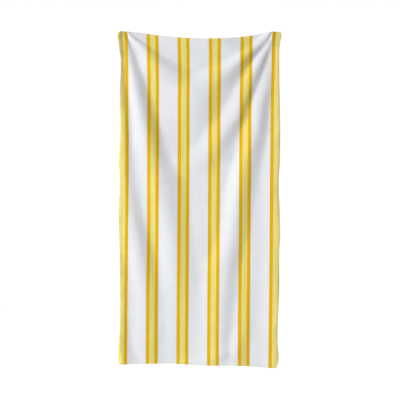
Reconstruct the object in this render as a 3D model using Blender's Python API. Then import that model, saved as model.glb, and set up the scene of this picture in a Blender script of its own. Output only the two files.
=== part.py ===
"""A striped beach towel that hangs by its two top corners, as one sheet with its folds.

The towel hangs in the XZ plane with its face towards -Y. The origin is the middle of the top edge,
where the edge sags lowest. Lengths are in metres, and "drop" means a depth below the origin.
"""

import math
from typing import NamedTuple

import bmesh
import bpy
from mathutils import Vector

# The cloth as it was cut
FLAT_WIDTH = 0.762
FLAT_LENGTH = 1.524
CLOTH_THICKNESS = 0.0024
HEM_THICKNESS = 0.0030
HEM_DEPTH = 0.022

# Its woven stripes are pale yellow between two ambers. Both selvedges cut off a stripe's outer amber.
WHOLE_STRIPES = 4
AMBER_WIDTH = 0.0156
PALE_WIDTH = 0.0256
CUT_STRIPE_WIDTH = PALE_WIDTH + AMBER_WIDTH
STRIPE_WIDTH = CUT_STRIPE_WIDTH + AMBER_WIDTH
WHITE_WIDTH = (FLAT_WIDTH - 2 * CUT_STRIPE_WIDTH - WHOLE_STRIPES * STRIPE_WIDTH) / (WHOLE_STRIPES + 1)

# The selvedges turn back a little
CURL_WIDTH = 0.008
CURL_DEPTH = 0.0011

# The mesh: its cells down the cloth, how far they crowd towards the top, and the step at a hem
CELLS_DOWN = 58
TOP_CROWDING = 0.35
HEM_STEP = 0.003

ROUGHNESS = 0.95


class Yarn(NamedTuple):
    """A colour of yarn, and how many of the mesh's cells lie across a band woven in it."""

    name: str
    colour: tuple
    cells: int


class EdgePoint(NamedTuple):
    """A point on the top edge or the bottom edge, seen from the front."""

    across: float
    height: float


class SidePoint(NamedTuple):
    """Where both side edges are at one drop."""

    drop: float
    left: float
    right: float


class AmberPoint(NamedTuple):
    """Where the edge stripes' ambers hang at one drop, by their outer sides.

    The drift is how far the middle stripes lie off their even places between the two.
    """

    drop: float
    left: float
    right: float
    drift: float


class Section(NamedTuple):
    """A fold's ridge where it passes one drop: its crest, the widths of its two slopes, its height."""

    drop: float
    crest: float
    left: float
    right: float
    height: float


WHITE = Yarn("white_terry", (0.85, 0.86, 0.88, 1.0), 4)
AMBER = Yarn("amber_terry", (0.80, 0.47, 0.01, 1.0), 1)
PALE = Yarn("pale_yellow_terry", (0.88, 0.76, 0.24, 1.0), 2)
YARNS = (WHITE, AMBER, PALE)

# The top edge sags between the corners, lowest close to the middle.
TOP_EDGE = (
    #         across  height
    EdgePoint(-0.375, 0.0230),
    EdgePoint(-0.366, 0.0332),
    EdgePoint(-0.350, 0.0348),
    EdgePoint(-0.318, 0.0327),
    EdgePoint(-0.273, 0.0282),
    EdgePoint(-0.205, 0.0182),
    EdgePoint(-0.100, 0.0062),
    EdgePoint(0.000, 0.0000),
    EdgePoint(0.090, 0.0010),
    EdgePoint(0.190, 0.0087),
    EdgePoint(0.255, 0.0187),
    EdgePoint(0.300, 0.0272),
    EdgePoint(0.328, 0.0330),
    EdgePoint(0.356, 0.0328),
    EdgePoint(0.368, 0.0305),
    EdgePoint(0.378, 0.0210),
)

# The hem hangs lower on the right, in shallow waves.
BOTTOM_EDGE = (
    #         across  height
    EdgePoint(-0.375, -1.4800),
    EdgePoint(-0.362, -1.4855),
    EdgePoint(-0.250, -1.4835),
    EdgePoint(-0.130, -1.4825),
    EdgePoint(-0.050, -1.4865),
    EdgePoint(0.060, -1.4900),
    EdgePoint(0.190, -1.4913),
    EdgePoint(0.250, -1.4954),
    EdgePoint(0.300, -1.5000),
    EdgePoint(0.338, -1.5005),
    EdgePoint(0.350, -1.4975),
    EdgePoint(0.360, -1.4900),
)

# The side edges flare at the held corners, and wander as they fall.
SIDES = (
    #          drop     left    right
    SidePoint(-0.033, -0.3745, 0.3700),
    SidePoint(-0.015, -0.3765, 0.3732),
    SidePoint(0.003, -0.3720, 0.3680),
    SidePoint(0.040, -0.3695, 0.3635),
    SidePoint(0.100, -0.3620, 0.3624),
    SidePoint(0.250, -0.3650, 0.3636),
    SidePoint(0.450, -0.3648, 0.3656),
    SidePoint(0.580, -0.3704, 0.3622),
    SidePoint(0.650, -0.3664, 0.3578),
    SidePoint(0.820, -0.3711, 0.3626),
    SidePoint(0.910, -0.3688, 0.3644),
    SidePoint(0.975, -0.3674, 0.3602),
    SidePoint(1.150, -0.3658, 0.3602),
    SidePoint(1.340, -0.3668, 0.3532),
    SidePoint(1.410, -0.3704, 0.3544),
    SidePoint(1.455, -0.3730, 0.3577),
    SidePoint(1.482, -0.3742, 0.3568),
    SidePoint(1.505, -0.3718, 0.3490),
)

# The edge stripes' ambers sway as they fall, and the stripes between them follow.
AMBERS = (
    #           drop     left   right    drift
    AmberPoint(-0.033, -0.3460, 0.3448, -0.0030),
    AmberPoint(0.060, -0.3426, 0.3427, -0.0032),
    AmberPoint(0.150, -0.3408, 0.3412, -0.0030),
    AmberPoint(0.270, -0.3404, 0.3380, -0.0028),
    AmberPoint(0.500, -0.3401, 0.3355, -0.0024),
    AmberPoint(0.700, -0.3403, 0.3323, -0.0020),
    AmberPoint(0.950, -0.3424, 0.3312, -0.0018),
    AmberPoint(1.200, -0.3455, 0.3287, -0.0010),
    AmberPoint(1.505, -0.3475, 0.3262, -0.0002),
)

# The folds fan out from the held corners. Each is a ridge towards the front, read section by section.
# The cowl and the belly are the cloth's broad sag below its top edge and its swell lower down.
FOLDS = {
    "cowl": (
        #       drop    crest   left   right  height
        Section(-0.020, 0.020, 0.280, 0.280, 0.0225),
        Section(0.074, 0.165, 0.470, 0.165, 0.0176),
        Section(0.165, 0.100, 0.400, 0.215, 0.0115),
        Section(0.256, 0.060, 0.340, 0.275, 0.0175),
        Section(0.350, 0.030, 0.320, 0.320, 0.0115),
        Section(0.500, 0.000, 0.300, 0.340, 0.0000),
    ),
    "belly": (
        Section(0.200, 0.380, 0.710, 0.100, 0.0000),
        Section(0.600, 0.380, 0.710, 0.100, 0.0200),
        Section(1.100, 0.380, 0.710, 0.100, 0.0220),
        Section(1.490, 0.380, 0.710, 0.100, 0.0180),
    ),
    "left_edge": (
        #       drop    crest   left   right  height
        Section(-0.035, -0.376, 0.030, 0.032, 0.0142),
        Section(0.080, -0.372, 0.030, 0.034, 0.0110),
        Section(0.165, -0.373, 0.030, 0.034, 0.0106),
        Section(0.256, -0.370, 0.030, 0.049, 0.0142),
        Section(0.350, -0.357, 0.030, 0.062, 0.0157),
        Section(0.450, -0.348, 0.032, 0.046, 0.0094),
        Section(0.620, -0.340, 0.038, 0.043, 0.0058),
        Section(0.750, -0.320, 0.056, 0.053, 0.0072),
        Section(0.830, -0.304, 0.062, 0.055, 0.0105),
        Section(0.960, -0.281, 0.088, 0.075, 0.0168),
        Section(1.080, -0.261, 0.074, 0.085, 0.0122),
        Section(1.200, -0.247, 0.078, 0.096, 0.0108),
        Section(1.450, -0.240, 0.088, 0.095, 0.0080),
    ),
    "left_long": (
        Section(-0.035, -0.345, 0.008, 0.012, 0.0032),
        Section(0.031, -0.331, 0.024, 0.020, 0.0070),
        Section(0.100, -0.319, 0.031, 0.037, 0.0095),
        Section(0.168, -0.303, 0.040, 0.051, 0.0130),
        Section(0.259, -0.286, 0.056, 0.069, 0.0218),
        Section(0.350, -0.266, 0.076, 0.081, 0.0274),
        Section(0.418, -0.251, 0.082, 0.085, 0.0260),
        Section(0.486, -0.232, 0.087, 0.088, 0.0222),
        Section(0.560, -0.212, 0.094, 0.092, 0.0192),
        Section(0.690, -0.180, 0.100, 0.140, 0.0214),
        Section(0.770, -0.158, 0.108, 0.122, 0.0182),
        Section(0.900, -0.130, 0.097, 0.108, 0.0160),
        Section(1.050, -0.112, 0.092, 0.114, 0.0122),
        Section(1.200, -0.102, 0.098, 0.115, 0.0074),
        Section(1.400, -0.100, 0.098, 0.115, 0.0026),
        Section(1.490, -0.100, 0.098, 0.115, 0.0000),
    ),
    "left_short": (
        Section(-0.035, -0.330, 0.010, 0.012, 0.0030),
        Section(0.000, -0.303, 0.028, 0.025, 0.0076),
        Section(0.031, -0.269, 0.042, 0.042, 0.0102),
        Section(0.077, -0.2275, 0.064, 0.066, 0.0118),
        Section(0.122, -0.197, 0.088, 0.132, 0.0220),
        Section(0.168, -0.171, 0.100, 0.172, 0.0150),
        Section(0.230, -0.120, 0.135, 0.180, 0.0106),
        Section(0.350, -0.080, 0.160, 0.170, 0.0060),
        Section(0.500, -0.070, 0.160, 0.150, 0.0000),
    ),
    "left_selvedge": (
        Section(0.060, -0.366, 0.010, 0.012, 0.0000),
        Section(0.200, -0.370, 0.010, 0.012, 0.0016),
        Section(0.330, -0.370, 0.010, 0.012, 0.0000),
        Section(0.740, -0.376, 0.010, 0.012, 0.0000),
        Section(0.820, -0.376, 0.010, 0.013, 0.0022),
        Section(1.110, -0.372, 0.010, 0.013, 0.0024),
        Section(1.170, -0.372, 0.010, 0.012, 0.0000),
        Section(1.360, -0.374, 0.010, 0.012, 0.0006),
        Section(1.490, -0.378, 0.010, 0.012, 0.0014),
    ),
    "right_short": (
        #       drop    crest   left   right  height
        Section(-0.030, 0.318, 0.036, 0.012, 0.0052),
        Section(0.000, 0.296, 0.048, 0.026, 0.0106),
        Section(0.031, 0.266, 0.056, 0.038, 0.0132),
        Section(0.077, 0.214, 0.074, 0.050, 0.0146),
        Section(0.122, 0.159, 0.108, 0.073, 0.0172),
        Section(0.168, 0.105, 0.180, 0.104, 0.0174),
        Section(0.213, 0.050, 0.200, 0.122, 0.0164),
        Section(0.259, 0.022, 0.200, 0.125, 0.0158),
        Section(0.330, -0.010, 0.170, 0.120, 0.0080),
        Section(0.430, -0.030, 0.150, 0.130, 0.0000),
    ),
    "right_middle": (
        Section(-0.034, 0.336, 0.008, 0.010, 0.0034),
        Section(0.031, 0.3105, 0.031, 0.025, 0.0058),
        Section(0.077, 0.2880, 0.038, 0.027, 0.0101),
        Section(0.122, 0.2665, 0.050, 0.036, 0.0124),
        Section(0.168, 0.242, 0.057, 0.046, 0.0142),
        Section(0.213, 0.225, 0.072, 0.047, 0.0148),
        Section(0.304, 0.1900, 0.084, 0.049, 0.0168),
        Section(0.361, 0.1630, 0.091, 0.062, 0.0174),
        Section(0.418, 0.118, 0.112, 0.078, 0.0160),
        Section(0.486, 0.077, 0.115, 0.086, 0.0156),
        Section(0.554, 0.030, 0.180, 0.122, 0.0126),
        Section(0.640, -0.030, 0.130, 0.100, 0.0000),
    ),
    "right_long": (
        Section(0.100, 0.315, 0.020, 0.020, 0.0000),
        Section(0.165, 0.309, 0.030, 0.022, 0.0018),
        Section(0.225, 0.298, 0.055, 0.039, 0.0074),
        Section(0.304, 0.276, 0.064, 0.050, 0.0136),
        Section(0.350, 0.269, 0.071, 0.052, 0.0156),
        Section(0.418, 0.255, 0.078, 0.066, 0.0176),
        Section(0.554, 0.2125, 0.071, 0.082, 0.0176),
        Section(0.690, 0.179, 0.082, 0.090, 0.0214),
        Section(0.830, 0.160, 0.082, 0.086, 0.0188),
        Section(0.960, 0.133, 0.089, 0.080, 0.0172),
        Section(1.032, 0.118, 0.122, 0.079, 0.0156),
        Section(1.169, 0.102, 0.118, 0.075, 0.0130),
        Section(1.305, 0.090, 0.122, 0.066, 0.0110),
        Section(1.400, 0.086, 0.122, 0.068, 0.0088),
        Section(1.460, 0.082, 0.110, 0.056, 0.0050),
    ),
    "right_lower": (
        Section(0.980, 0.214, 0.050, 0.058, 0.0000),
        Section(1.100, 0.212, 0.076, 0.058, 0.0024),
        Section(1.200, 0.210, 0.080, 0.058, 0.0032),
        Section(1.320, 0.202, 0.080, 0.058, 0.0054),
        Section(1.400, 0.168, 0.055, 0.072, 0.0092),
        Section(1.480, 0.165, 0.080, 0.070, 0.0086),
    ),
    "right_edge": (
        Section(0.020, 0.368, 0.030, 0.040, 0.0000),
        Section(0.130, 0.368, 0.034, 0.040, 0.0034),
        Section(0.260, 0.360, 0.045, 0.040, 0.0048),
        Section(0.420, 0.356, 0.060, 0.050, 0.0065),
        Section(0.620, 0.351, 0.088, 0.045, 0.0082),
        Section(0.735, 0.344, 0.080, 0.046, 0.0082),
        Section(0.800, 0.354, 0.090, 0.050, 0.0078),
        Section(0.960, 0.356, 0.092, 0.055, 0.0072),
        Section(1.090, 0.343, 0.084, 0.050, 0.0074),
        Section(1.200, 0.349, 0.082, 0.055, 0.0068),
        Section(1.330, 0.345, 0.080, 0.055, 0.0054),
        Section(1.480, 0.345, 0.080, 0.050, 0.0045),
    ),
    "right_corner": (
        Section(-0.036, 0.324, 0.200, 0.044, 0.0054),
        Section(-0.005, 0.324, 0.200, 0.044, 0.0040),
        Section(0.050, 0.320, 0.200, 0.044, 0.0000),
    ),
    "right_trace": (
        Section(0.570, 0.080, 0.120, 0.055, 0.0000),
        Section(0.650, 0.078, 0.120, 0.058, 0.0032),
        Section(0.760, 0.072, 0.120, 0.060, 0.0038),
        Section(0.860, 0.064, 0.120, 0.060, 0.0026),
        Section(0.970, 0.060, 0.120, 0.060, 0.0000),
    ),
    "pinch": (
        #       drop    crest   left   right  height
        Section(1.385, 0.122, 0.100, 0.030, 0.0000),
        Section(1.430, 0.108, 0.120, 0.034, 0.0060),
        Section(1.450, 0.093, 0.210, 0.054, 0.0118),
        Section(1.466, 0.040, 0.210, 0.126, 0.0122),
        Section(1.490, 0.030, 0.210, 0.120, 0.0080),
    ),
    "left_hem": (
        Section(1.040, -0.372, 0.020, 0.028, 0.0000),
        Section(1.170, -0.362, 0.025, 0.036, 0.0008),
        Section(1.270, -0.364, 0.025, 0.042, 0.0022),
        Section(1.350, -0.366, 0.030, 0.056, 0.0072),
        Section(1.420, -0.364, 0.030, 0.070, 0.0084),
        Section(1.458, -0.354, 0.030, 0.084, 0.0130),
        Section(1.490, -0.358, 0.030, 0.088, 0.0118),
    ),
}


def mix(ends, share):
    """Gives the value at a share of the way between two ends."""
    return ends[0] + (ends[1] - ends[0]) * share


def read(table, at, column):
    """Reads a column where the table's first column is at, on a smooth curve with level ends."""
    if at <= table[0][0]:
        return getattr(table[0], column)
    if at >= table[-1][0]:
        return getattr(table[-1], column)
    after = next(i for i, row in enumerate(table) if row[0] > at)
    lower, upper = table[after - 1], table[after]
    gap = upper[0] - lower[0]
    share = (at - lower[0]) / gap
    return (
        (2 * share**3 - 3 * share**2 + 1) * getattr(lower, column)
        + (share**3 - 2 * share**2 + share) * gap * slope_at(table, after - 1, column)
        + (3 * share**2 - 2 * share**3) * getattr(upper, column)
        + (share**3 - share**2) * gap * slope_at(table, after, column)
    )


def slope_at(table, index, column):
    """Gives a column's slope at a row: that between its neighbours, or none at the table's ends."""
    if index in (0, len(table) - 1):
        return 0.0
    before, after = table[index - 1], table[index + 1]
    return (getattr(after, column) - getattr(before, column)) / (after[0] - before[0])


def fold_height(sections, across, drop):
    """Gives how far a fold lifts the cloth towards the front at a place."""
    crest = read(sections, drop, "crest")
    width = read(sections, drop, "left" if across < crest else "right")
    away = abs(across - crest) / width
    if away >= 1.0:
        return 0.0
    return read(sections, drop, "height") * math.cos(away * math.pi / 2) ** 2


def lift(across, drop):
    """Gives how far all the folds together lift the cloth at a place."""
    return sum(fold_height(sections, across, drop) for sections in FOLDS.values())


def depth(across, drop):
    """Gives how far in front of the origin the cloth is at a place."""
    return lift(across, drop) - lift(0.0, 0.0)


def curl_at(from_selvedge):
    """Gives how far the cloth turns back at a distance from its selvedge."""
    share = max(0.0, 1.0 - from_selvedge / CURL_WIDTH)
    return CURL_DEPTH * share**2


def across_at(flat, drop):
    """Gives how far across a point hangs that lies at a distance from the cut cloth's left selvedge."""
    left, right = read(AMBERS, drop, "left"), read(AMBERS, drop, "right")
    from_right = FLAT_WIDTH - flat
    if flat < PALE_WIDTH:
        return mix((read(SIDES, drop, "left"), left), flat / PALE_WIDTH)
    if from_right < PALE_WIDTH:
        return mix((read(SIDES, drop, "right"), right), from_right / PALE_WIDTH)
    share = (flat - PALE_WIDTH) / (FLAT_WIDTH - 2 * PALE_WIDTH)
    return mix((left, right), share) + read(AMBERS, drop, "drift") * math.sin(share * math.pi)


def place(flat, v):
    """Gives where a point of the cloth hangs, from its place across the cut cloth and its share down."""
    across = across_at(flat, mix((SIDES[0].drop, SIDES[-1].drop), v))
    ends = (read(TOP_EDGE, across, "height"), read(BOTTOM_EDGE, across, "height"))
    height = mix(ends, v)
    forward = depth(across, -height) - curl_at(min(flat, FLAT_WIDTH - flat))
    return Vector((across, -forward, height))


def bands():
    """Lists the woven bands from the left selvedge to the right, each as its yarn and its width."""
    amber, pale, white = (AMBER, AMBER_WIDTH), (PALE, PALE_WIDTH), (WHITE, WHITE_WIDTH)
    return [pale, amber] + [white, amber, pale, amber] * WHOLE_STRIPES + [white, amber, pale]


def columns():
    """Gives the mesh's columns as distances from the left selvedge, and the yarn from each to the next."""
    distances, yarns = [0.0], []
    for yarn, width in bands():
        start = distances[-1]
        distances += [start + width * (i + 1) / yarn.cells for i in range(yarn.cells)]
        yarns += [yarn] * yarn.cells
    return distances, yarns


def rows():
    """Gives the mesh's rows as shares of the length: closer together at the top, and a step at each hem."""
    hem = HEM_DEPTH / FLAT_LENGTH
    step = HEM_STEP / FLAT_LENGTH
    first, last = hem + step, 1.0 - hem - step
    shares = [i / CELLS_DOWN for i in range(CELLS_DOWN + 1)]
    crowded = [s * (1.0 - TOP_CROWDING) + s**2 * TOP_CROWDING for s in shares]
    return [0.0, hem / 2, hem] + [first + (last - first) * s for s in crowded] + [1.0 - hem, 1.0]


def terry_material(yarn):
    """Makes the matt terry that is woven in one colour of yarn."""
    material = bpy.data.materials.new(yarn.name)
    material.use_nodes = True
    shader = material.node_tree.nodes["Principled BSDF"]
    shader.inputs["Base Color"].default_value = yarn.colour
    shader.inputs["Roughness"].default_value = ROUGHNESS
    shader.inputs["Metallic"].default_value = 0.0
    return material


def split_along_folds(grid):
    """Splits each cell in two along the folds, which run down and inwards from both corners."""
    left = [face for face in grid.faces if face.calc_center_median().x < 0.0]
    right = [face for face in grid.faces if face.calc_center_median().x >= 0.0]
    bmesh.ops.triangulate(grid, faces=left, quad_method="ALTERNATE")
    bmesh.ops.triangulate(grid, faces=right, quad_method="FIXED")


def hang_cloth():
    """Makes the cloth's middle surface: a grid with its bands and hems marked, moved into its folds."""
    across, yarns = columns()
    down = rows()
    mesh = bpy.data.meshes.new("towel")
    grid = bmesh.new()
    bmesh.ops.create_grid(grid, x_segments=len(yarns), y_segments=len(down) - 1, size=1.0)
    for face in grid.faces:
        column = int((face.calc_center_median().x + 1.0) / 2.0 * len(yarns))
        face.material_index = YARNS.index(yarns[column])
    hem_layer = grid.verts.layers.deform.verify()
    for vertex in grid.verts:
        column = round((vertex.co.x + 1.0) / 2.0 * len(yarns))
        row = round((1.0 - vertex.co.y) / 2.0 * (len(down) - 1))
        from_end = min(down[row], 1.0 - down[row]) * FLAT_LENGTH
        vertex[hem_layer][0] = 1.0 if from_end < HEM_DEPTH + HEM_STEP / 2 else 0.0
        vertex.co = place(across[column], down[row])
    bmesh.ops.reverse_faces(grid, faces=grid.faces)
    split_along_folds(grid)
    grid.to_mesh(mesh)
    grid.free()
    return mesh


def build_towel():
    """Builds the towel: its hung cloth, made solid, and thicker in the hems."""
    towel = bpy.data.objects.new("towel", hang_cloth())
    bpy.context.scene.collection.objects.link(towel)
    for yarn in YARNS:
        towel.data.materials.append(terry_material(yarn))
    hems = towel.vertex_groups.new(name="hems")
    solid = towel.modifiers.new("thickness", "SOLIDIFY")
    solid.thickness = HEM_THICKNESS
    solid.offset = 0.0
    solid.use_even_offset = True
    solid.vertex_group = hems.name
    solid.thickness_vertex_group = CLOTH_THICKNESS / HEM_THICKNESS
    towel.data.shade_smooth()
    return towel


def main():
    """Clears the scene and builds the towel."""
    for thing in list(bpy.data.objects):
        bpy.data.objects.remove(thing, do_unlink=True)
    build_towel()


if __name__ == "__main__":
    main()
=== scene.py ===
"""A striped beach towel that hangs by its two top corners, dressed for its pictures.

The towel is one closed sheet of looped terry cloth. Its stripes are woven along its length, it has a
turned and stitched hem at both ends, and soft folds fan out from the held corners. Lengths are in
metres, the cloth's face is towards -Y, and "drop" means a depth below the middle of the top edge.
A place on the cut cloth is given by "flat", the distance from its left selvedge, and by "down", the
distance from its top end.
"""

import logging
import math
from dataclasses import dataclass, fields
from enum import Enum
from typing import NamedTuple

import bpy
import numpy as np
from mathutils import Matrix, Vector


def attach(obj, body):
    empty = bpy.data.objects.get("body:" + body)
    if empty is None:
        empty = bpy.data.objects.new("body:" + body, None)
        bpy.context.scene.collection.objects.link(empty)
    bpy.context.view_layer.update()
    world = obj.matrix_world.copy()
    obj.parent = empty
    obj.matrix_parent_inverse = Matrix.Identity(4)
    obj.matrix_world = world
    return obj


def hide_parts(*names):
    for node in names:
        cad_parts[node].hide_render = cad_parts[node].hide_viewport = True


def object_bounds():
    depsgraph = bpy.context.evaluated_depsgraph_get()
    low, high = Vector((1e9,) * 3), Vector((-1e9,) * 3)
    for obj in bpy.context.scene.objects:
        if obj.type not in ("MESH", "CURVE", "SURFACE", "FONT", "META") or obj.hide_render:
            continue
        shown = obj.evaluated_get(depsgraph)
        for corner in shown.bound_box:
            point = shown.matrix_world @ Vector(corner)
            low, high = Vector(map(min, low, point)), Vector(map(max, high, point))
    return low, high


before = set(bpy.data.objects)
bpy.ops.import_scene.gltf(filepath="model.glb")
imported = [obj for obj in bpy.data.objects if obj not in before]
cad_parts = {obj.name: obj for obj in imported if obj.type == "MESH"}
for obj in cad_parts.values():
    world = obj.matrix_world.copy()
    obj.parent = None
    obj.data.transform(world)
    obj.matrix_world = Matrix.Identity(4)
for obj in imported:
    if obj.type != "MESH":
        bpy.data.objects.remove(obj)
SOLID_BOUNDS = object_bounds()

log = logging.getLogger("beach towel")


class Face(Enum):
    """The cloth's two faces, each with the sign of its way out along the front's normal."""

    FRONT = 1.0
    BACK = -1.0


class Weave(Enum):
    """How a place on the cloth is woven, as the number of its material on the sheet."""

    TERRY = 0
    SELVEDGE = 1


class Yarn(Enum):
    """The colours of the yarn, as linear red, green and blue."""

    WHITE = (0.850, 0.860, 0.882)
    AMBER = (0.800, 0.472, 0.002)
    PALE = (0.900, 0.796, 0.276)
    STREAK = (0.860, 0.700, 0.190)
    THREAD = (0.840, 0.820, 0.760)

    @property
    def colour(self) -> tuple[float, float, float, float]:
        """Gives the colour with full opacity, as a shader's socket takes it."""
        return (*self.value, 1.0)


class EdgePoint(NamedTuple):
    """A point on the top edge or the bottom edge, seen from the front."""

    across: float
    height: float


class SidePoint(NamedTuple):
    """Where both side edges are at one drop."""

    drop: float
    left: float
    right: float


class AmberPoint(NamedTuple):
    """Where the edge stripes' ambers hang at one drop, by their outer sides.

    The drift is how far the middle stripes lie off their even places between the two.
    """

    drop: float
    left: float
    right: float
    drift: float


class Section(NamedTuple):
    """A fold's ridge where it passes one drop: its crest, the widths of its slopes, its height."""

    drop: float
    crest: float
    left: float
    right: float
    height: float


def table(kind: type, *rows: tuple[float, ...]) -> tuple:
    """Makes a table from its rows' values, each row of the kind that names its columns."""
    return tuple(kind(*row) for row in rows)


def read(rows: tuple, at: np.ndarray, column: str) -> np.ndarray:
    """Reads a column of a table, on a smooth curve with level ends.

    Args:
        rows: The table, whose first column rises from row to row.
        at: The values of the first column to read at.
        column: The name of the column to read.

    Returns:
        The column's values there.
    """
    places = np.array([row[0] for row in rows])
    values = np.array([getattr(row, column) for row in rows])
    slopes = np.zeros(len(rows))
    slopes[1:-1] = (values[2:] - values[:-2]) / (places[2:] - places[:-2])
    before = np.clip(np.searchsorted(places, at, side="right") - 1, 0, len(rows) - 2)
    gap = places[before + 1] - places[before]
    share = np.clip((at - places[before]) / gap, 0.0, 1.0)
    return (
        (2 * share**3 - 3 * share**2 + 1) * values[before]
        + (share**3 - 2 * share**2 + share) * gap * slopes[before]
        + (3 * share**2 - 2 * share**3) * values[before + 1]
        + (share**3 - share**2) * gap * slopes[before + 1]
    )


def mix(low: np.ndarray, high: np.ndarray, share: np.ndarray) -> np.ndarray:
    """Gives the values at a share of the way from low to high."""
    return low + (high - low) * share


def near(distance: np.ndarray, reach: float) -> np.ndarray:
    """Gives a soft bump that is 1 where a distance is none and fades out over the reach."""
    return np.exp(-((distance / reach) ** 2))


def past(value: np.ndarray, limit: np.ndarray, softness: float) -> np.ndarray:
    """Gives a soft step from 0 to 1 where a value passes a limit. Either may be a plain number."""
    return 1.0 / (1.0 + np.exp((limit - value) / softness))


@dataclass(frozen=True)
class StripePlan:
    """The stripes along the cloth: pale yellow between two ambers, on a white ground.

    Both selvedges cut off the outer amber of a stripe.

    Attributes:
        width: The cut cloth's width, from selvedge to selvedge.
        amber: The width of an amber band.
        pale: The width of a pale yellow band.
        grounds: How many bands of white lie between the stripes.
    """

    width: float = 0.762
    amber: float = 0.0156
    pale: float = 0.0256
    grounds: int = 5

    @property
    def pitch(self) -> float:
        """Gives the distance from the middle of one stripe to that of the next."""
        return (self.width - self.pale) / self.grounds


@dataclass(frozen=True)
class Outline:
    """The hung cloth's edges as they show from the front, and where its stripes hang between them.

    Attributes:
        top: The top edge, which sags between the held corners.
        bottom: The bottom edge, which hangs lower on the right.
        sides: Both side edges, which flare at the corners and wander as they fall.
        ambers: The edge stripes' ambers, between which the other stripes hang.
    """

    top: tuple = table(
        EdgePoint,
        # across, height
        (-0.375, 0.0230),
        (-0.366, 0.0332),
        (-0.350, 0.0348),
        (-0.318, 0.0327),
        (-0.273, 0.0282),
        (-0.205, 0.0182),
        (-0.100, 0.0062),
        (0.000, 0.0000),
        (0.090, 0.0010),
        (0.190, 0.0087),
        (0.255, 0.0187),
        (0.300, 0.0272),
        (0.328, 0.0330),
        (0.356, 0.0328),
        (0.368, 0.0305),
        (0.378, 0.0210),
    )
    bottom: tuple = table(
        EdgePoint,
        # across, height
        (-0.375, -1.4800),
        (-0.362, -1.4855),
        (-0.250, -1.4835),
        (-0.130, -1.4825),
        (-0.050, -1.4865),
        (0.060, -1.4900),
        (0.190, -1.4913),
        (0.250, -1.4954),
        (0.300, -1.5000),
        (0.338, -1.5005),
        (0.350, -1.4975),
        (0.360, -1.4900),
    )
    sides: tuple = table(
        SidePoint,
        # drop, left, right
        (-0.033, -0.3745, 0.3700),
        (-0.015, -0.3765, 0.3732),
        (0.003, -0.3720, 0.3680),
        (0.040, -0.3695, 0.3635),
        (0.100, -0.3620, 0.3624),
        (0.250, -0.3650, 0.3636),
        (0.450, -0.3648, 0.3656),
        (0.580, -0.3704, 0.3622),
        (0.650, -0.3664, 0.3578),
        (0.820, -0.3711, 0.3626),
        (0.910, -0.3688, 0.3644),
        (0.975, -0.3674, 0.3602),
        (1.150, -0.3658, 0.3602),
        (1.340, -0.3668, 0.3532),
        (1.410, -0.3704, 0.3544),
        (1.455, -0.3730, 0.3577),
        (1.482, -0.3742, 0.3568),
        (1.505, -0.3718, 0.3490),
    )
    ambers: tuple = table(
        AmberPoint,
        # drop, left, right, drift
        (-0.033, -0.3460, 0.3448, -0.0030),
        (0.060, -0.3426, 0.3427, -0.0032),
        (0.150, -0.3408, 0.3412, -0.0030),
        (0.270, -0.3404, 0.3380, -0.0028),
        (0.500, -0.3401, 0.3355, -0.0024),
        (0.700, -0.3403, 0.3323, -0.0020),
        (0.950, -0.3424, 0.3312, -0.0018),
        (1.200, -0.3455, 0.3287, -0.0010),
        (1.505, -0.3475, 0.3262, -0.0002),
    )

    def across(self, flat: np.ndarray, share: np.ndarray, plan: StripePlan) -> np.ndarray:
        """Gives how far across points of the cloth hang.

        Args:
            flat: Their distances from the left selvedge.
            share: Their shares of the way down the cloth.
            plan: The stripes, whose edge bands end at the two outermost ambers.

        Returns:
            Their places along X.
        """
        drop = mix(self.sides[0].drop, self.sides[-1].drop, share)
        left, right = read(self.ambers, drop, "left"), read(self.ambers, drop, "right")
        along = (flat - plan.pale) / (plan.width - 2 * plan.pale)
        drift = read(self.ambers, drop, "drift") * np.sin(np.clip(along, 0.0, 1.0) * math.pi)
        inside = mix(left, right, along) + drift
        from_right = plan.width - flat
        on_left = mix(read(self.sides, drop, "left"), left, flat / plan.pale)
        on_right = mix(read(self.sides, drop, "right"), right, from_right / plan.pale)
        return np.where(flat < plan.pale, on_left, np.where(from_right < plan.pale, on_right, inside))

    def height(self, across: np.ndarray, share: np.ndarray) -> np.ndarray:
        """Gives how high points of the cloth hang, from their places across and their shares down."""
        return mix(read(self.top, across, "height"), read(self.bottom, across, "height"), share)


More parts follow.
